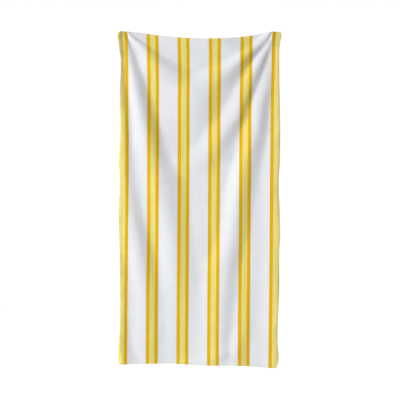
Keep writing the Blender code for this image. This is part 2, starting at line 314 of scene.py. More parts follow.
@dataclass(frozen=True)
class Folds:
    """The folds that fan out from the held corners, each a ridge towards the front.

    Attributes:
        cowl: The broad sag below the top edge.
        belly: The broad swell lower down.
        left_edge: The fold that falls beside the left edge.
        left_long: The long fold from the left corner to the bottom.
        left_short: The short one above it.
        left_selvedge: The ripples of the left selvedge.
        right_short: The short fold from the right corner.
        right_middle: The one below it.
        right_long: The long fold from the right corner to the bottom.
        right_lower: The fold that starts beside its lower half.
        right_edge: The fold that falls beside the right edge.
        right_corner: The swell below the right end of the top edge.
        right_trace: The faint fold beside the middle of the long one.
        pinch: The short fold that rises from the bottom hem, right of its middle.
        left_hem: The fold that rises from the hem's left end.
    """

    cowl: tuple = table(
        Section,
        # drop, crest, left, right, height
        (-0.020, 0.020, 0.280, 0.280, 0.0225),
        (0.074, 0.165, 0.470, 0.165, 0.0176),
        (0.165, 0.100, 0.400, 0.215, 0.0115),
        (0.256, 0.060, 0.340, 0.275, 0.0175),
        (0.350, 0.030, 0.320, 0.320, 0.0115),
        (0.500, 0.000, 0.300, 0.340, 0.0000),
    )
    belly: tuple = table(
        Section,
        # drop, crest, left, right, height
        (0.200, 0.380, 0.710, 0.100, 0.0000),
        (0.600, 0.380, 0.710, 0.100, 0.0200),
        (1.100, 0.380, 0.710, 0.100, 0.0220),
        (1.490, 0.380, 0.710, 0.100, 0.0180),
    )
    left_edge: tuple = table(
        Section,
        # drop, crest, left, right, height
        (-0.035, -0.376, 0.030, 0.032, 0.0142),
        (0.080, -0.372, 0.030, 0.034, 0.0110),
        (0.165, -0.373, 0.030, 0.034, 0.0106),
        (0.256, -0.370, 0.030, 0.049, 0.0142),
        (0.350, -0.357, 0.030, 0.062, 0.0157),
        (0.450, -0.348, 0.032, 0.046, 0.0094),
        (0.620, -0.340, 0.038, 0.043, 0.0058),
        (0.750, -0.320, 0.056, 0.053, 0.0072),
        (0.830, -0.304, 0.062, 0.055, 0.0105),
        (0.960, -0.281, 0.088, 0.075, 0.0168),
        (1.080, -0.261, 0.074, 0.085, 0.0122),
        (1.200, -0.247, 0.078, 0.096, 0.0108),
        (1.450, -0.240, 0.088, 0.095, 0.0080),
    )
    left_long: tuple = table(
        Section,
        # drop, crest, left, right, height
        (-0.035, -0.345, 0.008, 0.012, 0.0032),
        (0.031, -0.331, 0.024, 0.020, 0.0070),
        (0.100, -0.319, 0.031, 0.037, 0.0095),
        (0.168, -0.303, 0.040, 0.051, 0.0130),
        (0.259, -0.286, 0.056, 0.069, 0.0218),
        (0.350, -0.266, 0.076, 0.081, 0.0274),
        (0.418, -0.251, 0.082, 0.085, 0.0260),
        (0.486, -0.232, 0.087, 0.088, 0.0222),
        (0.560, -0.212, 0.094, 0.092, 0.0192),
        (0.690, -0.180, 0.100, 0.140, 0.0214),
        (0.770, -0.158, 0.108, 0.122, 0.0182),
        (0.900, -0.130, 0.097, 0.108, 0.0160),
        (1.050, -0.112, 0.092, 0.114, 0.0122),
        (1.200, -0.102, 0.098, 0.115, 0.0074),
        (1.400, -0.100, 0.098, 0.115, 0.0026),
        (1.490, -0.100, 0.098, 0.115, 0.0000),
    )
    left_short: tuple = table(
        Section,
        # drop, crest, left, right, height
        (-0.035, -0.330, 0.010, 0.012, 0.0030),
        (0.000, -0.303, 0.028, 0.025, 0.0076),
        (0.031, -0.269, 0.042, 0.042, 0.0102),
        (0.077, -0.2275, 0.064, 0.066, 0.0118),
        (0.122, -0.197, 0.088, 0.132, 0.0220),
        (0.168, -0.171, 0.100, 0.172, 0.0150),
        (0.230, -0.120, 0.135, 0.180, 0.0106),
        (0.350, -0.080, 0.160, 0.170, 0.0060),
        (0.500, -0.070, 0.160, 0.150, 0.0000),
    )
    left_selvedge: tuple = table(
        Section,
        # drop, crest, left, right, height
        (0.060, -0.366, 0.010, 0.012, 0.0000),
        (0.200, -0.370, 0.010, 0.012, 0.0016),
        (0.330, -0.370, 0.010, 0.012, 0.0000),
        (0.740, -0.376, 0.010, 0.012, 0.0000),
        (0.820, -0.376, 0.010, 0.013, 0.0022),
        (1.110, -0.372, 0.010, 0.013, 0.0024),
        (1.170, -0.372, 0.010, 0.012, 0.0000),
        (1.360, -0.374, 0.010, 0.012, 0.0006),
        (1.490, -0.378, 0.010, 0.012, 0.0014),
    )
    right_short: tuple = table(
        Section,
        # drop, crest, left, right, height
        (-0.030, 0.318, 0.036, 0.012, 0.0052),
        (0.000, 0.296, 0.048, 0.026, 0.0106),
        (0.031, 0.266, 0.056, 0.038, 0.0132),
        (0.077, 0.214, 0.074, 0.050, 0.0146),
        (0.122, 0.159, 0.108, 0.073, 0.0172),
        (0.168, 0.105, 0.180, 0.104, 0.0174),
        (0.213, 0.050, 0.200, 0.122, 0.0164),
        (0.259, 0.022, 0.200, 0.125, 0.0158),
        (0.330, -0.010, 0.170, 0.120, 0.0080),
        (0.430, -0.030, 0.150, 0.130, 0.0000),
    )
    right_middle: tuple = table(
        Section,
        # drop, crest, left, right, height
        (-0.034, 0.336, 0.008, 0.010, 0.0034),
        (0.031, 0.3105, 0.031, 0.025, 0.0058),
        (0.077, 0.2880, 0.038, 0.027, 0.0101),
        (0.122, 0.2665, 0.050, 0.036, 0.0124),
        (0.168, 0.242, 0.057, 0.046, 0.0142),
        (0.213, 0.225, 0.072, 0.047, 0.0148),
        (0.304, 0.1900, 0.084, 0.049, 0.0168),
        (0.361, 0.1630, 0.091, 0.062, 0.0174),
        (0.418, 0.118, 0.112, 0.078, 0.0160),
        (0.486, 0.077, 0.115, 0.086, 0.0156),
        (0.554, 0.030, 0.180, 0.122, 0.0126),
        (0.640, -0.030, 0.130, 0.100, 0.0000),
    )
    right_long: tuple = table(
        Section,
        # drop, crest, left, right, height
        (0.100, 0.315, 0.020, 0.020, 0.0000),
        (0.165, 0.309, 0.030, 0.022, 0.0018),
        (0.225, 0.298, 0.055, 0.039, 0.0074),
        (0.304, 0.276, 0.064, 0.050, 0.0136),
        (0.350, 0.269, 0.071, 0.052, 0.0156),
        (0.418, 0.255, 0.078, 0.066, 0.0176),
        (0.554, 0.2125, 0.071, 0.082, 0.0176),
        (0.690, 0.179, 0.082, 0.090, 0.0214),
        (0.830, 0.160, 0.082, 0.086, 0.0188),
        (0.960, 0.133, 0.089, 0.080, 0.0172),
        (1.032, 0.118, 0.122, 0.079, 0.0156),
        (1.169, 0.102, 0.118, 0.075, 0.0130),
        (1.305, 0.090, 0.122, 0.066, 0.0110),
        (1.400, 0.086, 0.122, 0.068, 0.0088),
        (1.460, 0.082, 0.110, 0.056, 0.0050),
    )
    right_lower: tuple = table(
        Section,
        # drop, crest, left, right, height
        (0.980, 0.214, 0.050, 0.058, 0.0000),
        (1.100, 0.212, 0.076, 0.058, 0.0024),
        (1.200, 0.210, 0.080, 0.058, 0.0032),
        (1.320, 0.202, 0.080, 0.058, 0.0054),
        (1.400, 0.168, 0.055, 0.072, 0.0092),
        (1.480, 0.165, 0.080, 0.070, 0.0086),
    )
    right_edge: tuple = table(
        Section,
        # drop, crest, left, right, height
        (0.020, 0.368, 0.030, 0.040, 0.0000),
        (0.130, 0.368, 0.034, 0.040, 0.0034),
        (0.260, 0.360, 0.045, 0.040, 0.0048),
        (0.420, 0.356, 0.060, 0.050, 0.0065),
        (0.620, 0.351, 0.088, 0.045, 0.0082),
        (0.735, 0.344, 0.080, 0.046, 0.0082),
        (0.800, 0.354, 0.090, 0.050, 0.0078),
        (0.960, 0.356, 0.092, 0.055, 0.0072),
        (1.090, 0.343, 0.084, 0.050, 0.0074),
        (1.200, 0.349, 0.082, 0.055, 0.0068),
        (1.330, 0.345, 0.080, 0.055, 0.0054),
        (1.480, 0.345, 0.080, 0.050, 0.0045),
    )
    right_corner: tuple = table(
        Section,
        # drop, crest, left, right, height
        (-0.036, 0.324, 0.200, 0.044, 0.0054),
        (-0.005, 0.324, 0.200, 0.044, 0.0040),
        (0.050, 0.320, 0.200, 0.044, 0.0000),
    )
    right_trace: tuple = table(
        Section,
        # drop, crest, left, right, height
        (0.570, 0.080, 0.120, 0.055, 0.0000),
        (0.650, 0.078, 0.120, 0.058, 0.0032),
        (0.760, 0.072, 0.120, 0.060, 0.0038),
        (0.860, 0.064, 0.120, 0.060, 0.0026),
        (0.970, 0.060, 0.120, 0.060, 0.0000),
    )
    pinch: tuple = table(
        Section,
        # drop, crest, left, right, height
        (1.385, 0.122, 0.100, 0.030, 0.0000),
        (1.430, 0.108, 0.120, 0.034, 0.0060),
        (1.450, 0.093, 0.210, 0.054, 0.0118),
        (1.466, 0.040, 0.210, 0.126, 0.0122),
        (1.490, 0.030, 0.210, 0.120, 0.0080),
    )
    left_hem: tuple = table(
        Section,
        # drop, crest, left, right, height
        (1.040, -0.372, 0.020, 0.028, 0.0000),
        (1.170, -0.362, 0.025, 0.036, 0.0008),
        (1.270, -0.364, 0.025, 0.042, 0.0022),
        (1.350, -0.366, 0.030, 0.056, 0.0072),
        (1.420, -0.364, 0.030, 0.070, 0.0084),
        (1.458, -0.354, 0.030, 0.084, 0.0130),
        (1.490, -0.358, 0.030, 0.088, 0.0118),
    )

    @staticmethod
    def ridge(sections: tuple, across: np.ndarray, drop: np.ndarray) -> np.ndarray:
        """Gives how far one fold lifts the cloth towards the front.

        Args:
            sections: The fold's sections, from its upper end to its lower end.
            across: The places along X to read at.
            drop: Their depths below the middle of the top edge.

        Returns:
            The fold's height at each place.
        """
        crest = read(sections, drop, "crest")
        width = np.where(across < crest, read(sections, drop, "left"), read(sections, drop, "right"))
        away = np.clip(np.abs(across - crest) / width, 0.0, 1.0)
        return read(sections, drop, "height") * np.cos(away * math.pi / 2) ** 2

    def lift(self, across: np.ndarray, drop: np.ndarray) -> np.ndarray:
        """Gives how far all the folds together lift the cloth towards the front."""
        return sum(self.ridge(getattr(self, fold.name), across, drop) for fold in fields(self))

    def forward(self, across: np.ndarray, drop: np.ndarray) -> np.ndarray:
        """Gives how far in front of the middle of the top edge the cloth is."""
        middle = np.zeros(1)
        return self.lift(across, drop) - self.lift(middle, middle)


@dataclass(frozen=True)
class Unevenness:
    """Small seeded waves, for what no cloth hangs without.

    Attributes:
        seed: The seed of the waves' lengths, directions and phases.
        count: How many waves are added up.
        shortest: The shortest wave's length.
        longest: The longest wave's length.
        height: The height of the longest wave. A shorter one is lower in proportion.
        lean: How much of each wave runs down the cloth, from 0 for waves across it alone.
    """

    seed: int
    count: int
    shortest: float
    longest: float
    height: float
    lean: float = 1.0

    def at(self, flat: np.ndarray, down: np.ndarray) -> np.ndarray:
        """Gives the waves' sum at places on the cut cloth.

        Args:
            flat: The places' distances from the left selvedge.
            down: Their distances from the top end.

        Returns:
            The waves' height at each place.
        """
        draw = np.random.default_rng(self.seed)
        total = np.zeros(np.broadcast(flat, down).shape)
        for _ in range(self.count):
            length = self.shortest * (self.longest / self.shortest) ** draw.random()
            angle = draw.random() * 2 * math.pi
            phase = draw.random() * 2 * math.pi
            along = flat * math.cos(angle) + down * math.sin(angle) * self.lean
            size = self.height * length / self.longest
            total += size * np.sin(2 * math.pi * along / length + phase)
        return total / math.sqrt(self.count)


class Dip(NamedTuple):
    """A soft dip along a line, by its depth and how far to each side it fades out."""

    depth: float
    reach: float

    def at(self, distance: np.ndarray) -> np.ndarray:
        """Gives how deep the dip is at distances from its line."""
        return self.depth * near(distance, self.reach)


class Graph:
    """Adds nodes to a node tree and links them up.

    Attributes:
        tree: The node tree.
    """

    def __init__(self, tree: bpy.types.NodeTree) -> None:
        """Takes the node tree."""
        self.tree = tree

    def feed(self, node: bpy.types.Node, inputs: dict) -> None:
        """Fills a node's sockets.

        Args:
            node: The node.
            inputs: What goes into its sockets, by their names or numbers: sockets or plain values.
        """
        for name, value in inputs.items():
            if isinstance(value, bpy.types.NodeSocket):
                self.tree.links.new(value, node.inputs[name])
            else:
                node.inputs[name].default_value = value

    def node(self, kind: str, inputs: dict | None = None, **settings: object) -> bpy.types.Node:
        """Adds a node.

        Args:
            kind: The node's type.
            inputs: What goes into its sockets, as feed takes it.
            **settings: The node's own settings.

        Returns:
            The node.
        """
        made = self.tree.nodes.new(kind)
        for name, value in settings.items():
            setattr(made, name, value)
        self.feed(made, inputs or {})
        return made

    def math(self, operation: str, *values: object) -> bpy.types.NodeSocket:
        """Adds a Math node and gives its result."""
        return self.node("ShaderNodeMath", dict(enumerate(values)), operation=operation).outputs[0]

    def vector(self, operation: str, *values: object) -> bpy.types.NodeSocket:
        """Adds a Vector Math node and gives its vector."""
        made = self.node("ShaderNodeVectorMath", dict(enumerate(values)), operation=operation)
        return made.outputs[0]

    def part(self, vector: object, axis: str) -> bpy.types.NodeSocket:
        """Adds a Separate XYZ node and gives one of a vector's parts."""
        return self.node("ShaderNodeSeparateXYZ", {0: vector}).outputs[axis]

    def noise(self, place: object, scale: object, detail: float = 2.0) -> bpy.types.NodeSocket:
        """Adds a flat Noise Texture, whose value lies around a half.

        Args:
            place: Where to read it.
            scale: Its scale, or its scales along both axes.
            detail: How fine it is.

        Returns:
            Its value.
        """
        if isinstance(scale, tuple):
            place, scale = self.vector("MULTIPLY", place, (*scale, 0.0)), 1.0
        inputs = {"Vector": place, "Scale": scale, "Detail": detail}
        return self.node("ShaderNodeTexNoise", inputs, noise_dimensions="2D").outputs[0]

    def smooth(self, value: object, low: float, high: float) -> bpy.types.NodeSocket:
        """Adds a soft step.

        Args:
            value: What it follows.
            low: The value where the step is 0.
            high: The value where it is 1.

        Returns:
            The step.
        """
        inputs = {"Value": value, "From Min": low, "From Max": high}
        made = self.node("ShaderNodeMapRange", inputs, interpolation_type="SMOOTHSTEP")
        return made.outputs[0]

    def span(self, value: object, low: float, high: float) -> bpy.types.NodeSocket:
        """Adds a linear change of a value from 0 to 1 into one from low to high."""
        return self.node("ShaderNodeMapRange", {"Value": value, "To Min": low, "To Max": high}).outputs[0]

    def bump(self, height: object, distance: float, strength: float) -> bpy.types.NodeSocket:
        """Adds a Bump node and gives its normal."""
        inputs = {"Height": height, "Distance": distance, "Strength": strength}
        return self.node("ShaderNodeBump", inputs).outputs[0]

    def blend(self, share: object, first: object, second: object) -> bpy.types.NodeSocket:
        """Adds a mix of two colours.

        Args:
            share: The second colour's share, from 0 to 1.
            first: The first colour.
            second: The second colour.

        Returns:
            The mixed colour.
        """
        made = self.node("ShaderNodeMix", data_type="RGBA")
        fills = {"Factor_Float": share, "A_Color": first, "B_Color": second}
        numbers = {socket.identifier: number for number, socket in enumerate(made.inputs)}
        self.feed(made, {numbers[name]: value for name, value in fills.items()})
        return next(socket for socket in made.outputs if socket.identifier == "Result_Color")


class Effect:
    """A shader node group with named inputs and one output, built once and placed in each material.

    Attributes:
        tree: The node group.
        graph: The graph that fills it.
        given: The node that holds the group's inputs.
    """

    def __init__(self, name: str, inputs: dict, output: str, kind: str = "NodeSocketFloat") -> None:
        """Makes the empty group.

        Args:
            name: The group's name.
            inputs: Its inputs' names, each with its default: a number, or a vector.
            output: Its output's name.
            kind: The type of its output's socket.
        """
        self.tree = bpy.data.node_groups.new(name, "ShaderNodeTree")
        for title, value in inputs.items():
            given = "NodeSocketVector" if isinstance(value, tuple) else "NodeSocketFloat"
            socket = self.tree.interface.new_socket(title, in_out="INPUT", socket_type=given)
            socket.default_value = value
        self.tree.interface.new_socket(output, in_out="OUTPUT", socket_type=kind)
        self.graph = Graph(self.tree)
        self.given = self.tree.nodes.new("NodeGroupInput")

    def gives(self, result: bpy.types.NodeSocket) -> None:
        """Links the group's output to what fills it."""
        self.graph.node("NodeGroupOutput", {0: result})

    def placed(self, graph: Graph, **inputs: object) -> bpy.types.NodeSocket:
        """Places the group in a material's graph.

        Args:
            graph: The material's graph.
            **inputs: What goes into the group's inputs.

        Returns:
            The group's output there.
        """
        return graph.node("ShaderNodeGroup", inputs, node_tree=self.tree).outputs[0]


class WovenStripes(Effect):
    """The stripes' colours from a place on the cut cloth, with threads that wander a little.

    Attributes:
        threads: The threads' scales across and along the cloth.
        wander: How far a thread may lie off its place.
        streaks: The scales of the pale bands' streaks.
        streaked: The noise's values where a streak starts and where it is full.
    """

    threads: tuple[float, float] = (900.0, 220.0)
    wander: float = 0.0003
    streaks: tuple[float, float] = (330.0, 3.0)
    streaked: tuple[float, float] = (0.40, 0.66)

    def __init__(self, plan: StripePlan) -> None:
        """Builds the group.

        Args:
            plan: The stripes' widths.
        """
        inputs = {"Place": (0.0, 0.0, 0.0), "Softness": 0.0004}
        super().__init__("woven stripes", inputs, "Colour", "NodeSocketColor")
        graph, place = self.graph, self.given.outputs["Place"]
        flat = graph.part(place, "X")
        threads = graph.noise(place, self.threads)
        wander = graph.math("MULTIPLY_ADD", threads, 2 * self.wander, -self.wander)
        from_first = graph.math("SUBTRACT", graph.math("ADD", flat, wander), plan.pale / 2)
        distance = graph.math("PINGPONG", from_first, plan.pitch / 2)
        streaks = graph.smooth(graph.noise(place, self.streaks, 3.0), *self.streaked)
        pale = graph.blend(streaks, Yarn.PALE.colour, Yarn.STREAK.colour)
        coloured = graph.blend(self.edge(distance, plan.pale / 2), pale, Yarn.AMBER.colour)
        ground = self.edge(distance, plan.pale / 2 + plan.amber)
        self.gives(graph.blend(ground, coloured, Yarn.WHITE.colour))

    def edge(self, distance: bpy.types.NodeSocket, at: float) -> bpy.types.NodeSocket:
        """Adds a step from 0 to 1 at a band's edge, as wide as the softness.

        Args:
            distance: The distance from the middle of a stripe.
            at: The distance at which the edge lies.

        Returns:
            The step.
        """
        beyond = self.graph.math("SUBTRACT", distance, at)
        share = self.graph.math("DIVIDE", beyond, self.given.outputs["Softness"])
        return self.graph.smooth(share, -1.0, 1.0)


class Unlevel(Effect):
    """Lengthwise streaks and cloudy patches of the pile, as a brightness around 1.

    Attributes:
        scales: The scales of the streaks and of the clouds.
    """

    scales: dict[str, object] = {"Streaks": (240.0, 9.0), "Clouds": 26.0}

    def __init__(self) -> None:
        """Builds the group."""
        inputs = {"Place": (0.0, 0.0, 0.0), "Streaks": 0.03, "Clouds": 0.03}
        super().__init__("unlevel pile", inputs, "Brightness")
        graph, given = self.graph, self.given.outputs
        parts = []
        for name, scale in self.scales.items():
            level = graph.math("SUBTRACT", graph.noise(given["Place"], scale, 3.0), 0.5)
            parts.append(graph.math("MULTIPLY", level, given[name]))
        self.gives(graph.math("MULTIPLY_ADD", graph.math("ADD", *parts), 2.0, 1.0))


class Loops(Effect):
    """The pile's loops, as a height from 0 between them to 1 at their tops.

    Attributes:
        between: The distance from a loop's middle to where the pile is lowest, in loops.
        top: The distance from its middle to where it is highest.
        scatter: How unevenly the loops stand, from 0 to 1.
    """

    between: float = 0.75
    top: float = 0.05
    scatter: float = 0.8

    def __init__(self) -> None:
        """Builds the group."""
        inputs = {"Place": (0.0, 0.0, 0.0), "Across": 620.0, "Along": 460.0}
        super().__init__("pile loops", inputs, "Height")
        graph, given = self.graph, self.given.outputs
        scale = graph.node("ShaderNodeCombineXYZ", {"X": given["Across"], "Y": given["Along"]})
        place = graph.vector("MULTIPLY", given["Place"], scale.outputs[0])
        fills = {"Vector": place, "Scale": 1.0, "Randomness": self.scatter}
        cells = graph.node("ShaderNodeTexVoronoi", fills, voronoi_dimensions="2D")
        self.gives(graph.smooth(cells.outputs["Distance"], self.between, self.top))


class Surface(Graph):
    """A new material's graph, with the Principled shader that it feeds.

    Attributes:
        material: The material.
        shader: Its Principled shader.
    """

    def __init__(self, name: str) -> None:
        """Makes the material.

        Args:
            name: The material's name.
        """
        self.material = bpy.data.materials.new(name)
        self.material.use_nodes = True
        super().__init__(self.material.node_tree)
        self.shader = self.tree.nodes["Principled BSDF"]

    def place(self, name: str) -> bpy.types.NodeSocket:
        """Adds a UV Map node and gives the place that the map of that name holds."""
        return self.node("ShaderNodeUVMap", uv_map=name).outputs[0]

    def gives(self, inputs: dict) -> bpy.types.Material:
        """Fills the shader's sockets and gives the material."""
        self.feed(self.shader, inputs)
        return self.material


@dataclass(frozen=True)
class TerryFinish:
    """Looped terry: matt, with a soft sheen, its stripes woven in.

    Attributes:
        roughness: The least and the greatest roughness.
        sheen: How much the fibres' tips catch light at a slant.
        sheen_roughness: How widely they scatter it.
        gloss: How much the fibres mirror.
        loop_height: How far the loops stand up.
        loop_relief: How strongly they show.
        painted_loop_shade: How dark the shade painted between its loops makes the cloth.
    """

    roughness: tuple[float, float] = (0.88, 1.0)
    sheen: float = 0.05
    sheen_roughness: float = 0.5
    gloss: float = 0.05
    loop_height: float = 0.0009
    loop_relief: float = 0.6
    painted_loop_shade: float = 0.90

    def material(self, stripes: WovenStripes, unlevel: Unlevel, loops: Loops) -> bpy.types.Material:
        """Makes the material.

        Args:
            stripes: The stripes' effect.
            unlevel: The effect of streaks and clouds.
            loops: The effect of the pile's loops.

        Returns:
            The material.
        """
        surface = Surface("striped terry")
        place = surface.place("cut cloth")
        height = loops.placed(surface, Place=place)
        brightness = unlevel.placed(surface, Place=place)
        # The colour is the pile's streaks and clouds times painted shade between the loops.
        brightness_with_painted_shade = surface.math("MULTIPLY", brightness, surface.span(height, self.painted_loop_shade, 1.0))
        return surface.gives({
            "Base Color": surface.vector("MULTIPLY", stripes.placed(surface, Place=place), brightness_with_painted_shade),
            "Roughness": surface.span(height, *reversed(self.roughness)),
            "Normal": surface.bump(height, self.loop_height, self.loop_relief),
            "Sheen Weight": self.sheen,
            "Sheen Roughness": self.sheen_roughness,
            "Specular IOR Level": self.gloss,
        })


@dataclass(frozen=True)
class SelvedgeFinish:
    """The close flat weave along the selvedges, which has no pile.

    Attributes:
        roughness: Its roughness.
        gloss: How much its threads mirror.
        streaks: How strongly its warp shows.
        rib_pitch: The distance from one weft thread to the next.
        rib_height: How far the weft threads stand up.
        rib_relief: How strongly they show.
        painted_rib_shade: How dark the shade painted between the weft threads makes the cloth.
    """

    roughness: float = 0.85
    gloss: float = 0.08
    streaks: float = 0.05
    rib_pitch: float = 0.0011
    rib_height: float = 0.0003
    rib_relief: float = 0.7
    painted_rib_shade: float = 0.88

    def material(self, stripes: WovenStripes, unlevel: Unlevel) -> bpy.types.Material:
        """Makes the material.

        Args:
            stripes: The stripes' effect.
            unlevel: The effect of streaks and clouds.

        Returns:
            The material.
        """
        surface = Surface("flat woven selvedge")
        place = surface.place("cut cloth")
        turn = surface.math("MULTIPLY", surface.part(place, "Y"), 2 * math.pi / self.rib_pitch)
        height = surface.math("MULTIPLY_ADD", surface.math("SINE", turn), 0.5, 0.5)
        brightness = unlevel.placed(surface, Place=place, Streaks=self.streaks)
        # The colour is the warp's streaks times painted shade between the weft threads.
        brightness_with_painted_shade = surface.math("MULTIPLY", brightness, surface.span(height, self.painted_rib_shade, 1.0))
        return surface.gives({
            "Base Color": surface.vector("MULTIPLY", stripes.placed(surface, Place=place), brightness_with_painted_shade),
            "Normal": surface.bump(height, self.rib_height, self.rib_relief),
            "Roughness": self.roughness,
            "Specular IOR Level": self.gloss,
        })


@dataclass(frozen=True)
class ThreadFinish:
    """Twisted cotton sewing thread.

    Attributes:
        roughness: Its roughness.
        sheen: How much its fibres catch light at a slant.
        twists: How many plies pass for each metre of thread.
        ply_height: How far the plies stand up.
        ply_relief: How strongly they show.
        painted_ply_shade: How dark the shade painted between the plies makes the thread.
    """

    roughness: float = 0.7
    sheen: float = 0.1
    twists: float = 1400.0
    ply_height: float = 0.00008
    ply_relief: float = 0.8
    painted_ply_shade: float = 0.82

    def material(self) -> bpy.types.Material:
        """Makes the material.

        Returns:
            The material.
        """
        surface = Surface("hem thread")
        place = surface.place("thread")
        turns = surface.math("MULTIPLY", surface.part(place, "X"), self.twists)
        turned = surface.math("ADD", turns, surface.part(place, "Y"))
        height = surface.math("MULTIPLY", surface.math("PINGPONG", turned, 0.5), 2.0)
        # Painted shade darkens the thread between its plies.
        brightness_with_painted_shade = surface.span(height, self.painted_ply_shade, 1.0)
        return surface.gives({
            "Base Color": surface.vector("MULTIPLY", Yarn.THREAD.value, brightness_with_painted_shade),
            "Normal": surface.bump(height, self.ply_height, self.ply_relief),
            "Roughness": self.roughness,
            "Sheen Weight": self.sheen,
        })


def make_object(name: str, points: np.ndarray, faces: list, materials: list) -> bpy.types.Object:
    """Makes a smooth mesh object in the scene.

    Args:
        name: The object's name.
        points: Its points, one row each.
        faces: Its faces, each as its points' numbers.
        materials: Its materials.

    Returns:
        The object.
    """
    mesh = bpy.data.meshes.new(name)
    mesh.from_pydata(points, [], faces)
    mesh.shade_smooth()
    for material in materials:
        mesh.materials.append(material)
    made = bpy.data.objects.new(name, mesh)
    bpy.context.scene.collection.objects.link(made)
    return made


def set_map(mesh: bpy.types.Mesh, name: str, places: np.ndarray) -> None:
    """Gives a mesh a UV map.

    Args:
        mesh: The mesh.
        name: The map's name.
        places: The two coordinates of each of the mesh's points.
    """
    corners = np.zeros(len(mesh.loops), dtype=np.int32)
    mesh.loops.foreach_get("vertex_index", corners)
    layer = mesh.uv_layers.new(name=name)
    layer.uv.foreach_set("vector", places[corners].astype(np.float32).ravel())


@dataclass
class HungCloth:
    """The towel's sheet of terry cloth, hung by its two top corners.

    Attributes:
        plan: The stripes, whose width is the cut cloth's.
        outline: The hung cloth's edges.
        folds: Its folds.
        length: The cut cloth's length.
        thickness: The thickness of its terry.
        hem_depth: The depth of the turned hem at each end.
        hem_swell: How far the hem stands out on each face.
        hem_blend: How softly it starts.
        turning: How far the hem's turned layer stands out on the back.
        seam_inset: The distance from the hem's inner edge to its stitches.
        seam_groove: The groove that the stitches pull into each face.
        seam_pull: The dip of the pile on both sides of the stitches.
        selvedge: The width of the flat weave along each side.
        selvedge_half: Half of the flat weave's thickness.
        pile_blend: How softly the pile starts beside it.
        curl_width: The width over which each selvedge turns back.
        curl_depth: How far each selvedge turns back.
        softness: The waves of the whole cloth.
        ruffle: The waves of the selvedges.
        ruffle_reach: How far in they fade out.
        pucker: The waves that the stitches pull up.
        pucker_reach: How far from the stitches they fade out.
        cell_across: The mesh's cell size across the cloth.
        cell_down: Its cell size down the cloth.
        round_angles: The angles of its lines round each edge, in degrees.
        side_lines: Its lines along the flat weave's inner edge, by their distances from it.
        hem_lines: Its lines in each hem, by their distances from the end.
        seam_lines: Its lines along the stitches, by their distances from them.
        fell_lines: Its lines along the hem's inner edge, by their distances from it.
        normal_step: How far to each side the cloth is read for its normals.
    """

    plan: StripePlan
    outline: Outline
    folds: Folds
    length: float = 1.524
    thickness: float = 0.0024
    hem_depth: float = 0.022
    hem_swell: float = 0.0006
    hem_blend: float = 0.0004
    turning: float = 0.0008
    seam_inset: float = 0.0018
    seam_groove: Dip = Dip(depth=0.0004, reach=0.0011)
    seam_pull: Dip = Dip(depth=0.0006, reach=0.0055)
    selvedge: float = 0.0050
    selvedge_half: float = 0.0009
    pile_blend: float = 0.0006
    curl_width: float = 0.008
    curl_depth: float = 0.0011
    softness: Unevenness = Unevenness(seed=11, count=26, shortest=0.06, longest=0.20, height=0.0009)
    ruffle: Unevenness = Unevenness(seed=5, count=9, shortest=0.03, longest=0.09, height=0.0016)
    ruffle_reach: float = 0.020
    pucker: Unevenness = Unevenness(
        seed=3, count=7, shortest=0.009, longest=0.020, height=0.0007, lean=0.2
    )
    pucker_reach: float = 0.012
    cell_across: float = 0.00415
    cell_down: float = 0.0067
    round_angles: tuple[float, ...] = (0, 30, 60, 90)
    side_lines: tuple[float, ...] = (-0.0020, 0.0, 0.0020)
    hem_lines: tuple[float, ...] = (0.004, 0.008, 0.012, 0.016)
    seam_lines: tuple[float, ...] = (-0.0018, -0.0008, 0.0, 0.0008)
    fell_lines: tuple[float, ...] = (-0.0004, 0.0004, 0.0020, 0.0055)
    normal_step: float = 0.0005

    @property
    def seam(self) -> float:
        """Gives the distance from an end of the cloth to its hem's stitches."""
        return self.hem_depth - self.seam_inset

    def ends(self, down: np.ndarray) -> np.ndarray:
        """Gives the distances to the nearer end from those to the top end."""
        return np.minimum(down, self.length - down)

    def sides(self, flat: np.ndarray) -> np.ndarray:
        """Gives the distances to the nearer selvedge from those to the left one."""
        return np.minimum(flat, self.plan.width - flat)

    def inward(self, down: np.ndarray) -> np.ndarray:
        """Gives how far inward of the nearer hem's stitches points lie."""
        return self.ends(down) - self.hem_depth + self.seam_inset

    def middle(self, flat: np.ndarray, down: np.ndarray) -> np.ndarray:
        """Gives where points half way through the cloth hang.

        Args:
            flat: Their distances from the left selvedge.
            down: Their distances from the top end.

        Returns:
            Their places, with X, Y and Z along the last axis.
        """
        share = down / self.length
        across = self.outline.across(flat, share, self.plan)
        height = self.outline.height(across, share)
        from_side, from_seam = self.sides(flat), self.inward(down)
        curl = self.curl_depth * np.clip(1.0 - from_side / self.curl_width, 0.0, 1.0) ** 2
        forward = self.folds.forward(across, -height) - curl
        forward += self.softness.at(flat, down)
        forward += self.ruffle.at(flat, down) * near(from_side, self.ruffle_reach)
        forward += self.pucker.at(flat, down) * near(from_seam, self.pucker_reach)
        return np.stack([across, -forward, height], axis=-1)

    def half(self, face: Face, flat: np.ndarray, down: np.ndarray) -> np.ndarray:
        """Gives how far a face lies from the middle of the cloth, without the rounding at the edges.

        Args:
            face: The cloth's front or back.
            flat: The points' distances from the left selvedge.
            down: Their distances from the top end.

        Returns:
            The distances along the front's normal.
        """
        from_end, from_seam = self.ends(down), self.inward(down)
        in_pile = past(self.sides(flat), self.selvedge, self.pile_blend)
        pile = mix(self.selvedge_half, self.thickness / 2, in_pile)
        layers = self.hem_swell + (self.turning if face is Face.BACK else 0.0)
        hem = layers * past(self.hem_depth, from_end, self.hem_blend)
        return pile + hem - (self.seam_groove.at(from_seam) + self.seam_pull.at(from_seam))

    def rounding(self, distance: np.ndarray) -> np.ndarray:
        """Gives the share of its thickness that the cloth keeps at a distance from its edge."""
        inward = np.clip(distance / self.selvedge_half, 0.0, 1.0)
        return np.sqrt(1.0 - (1.0 - inward) ** 2)

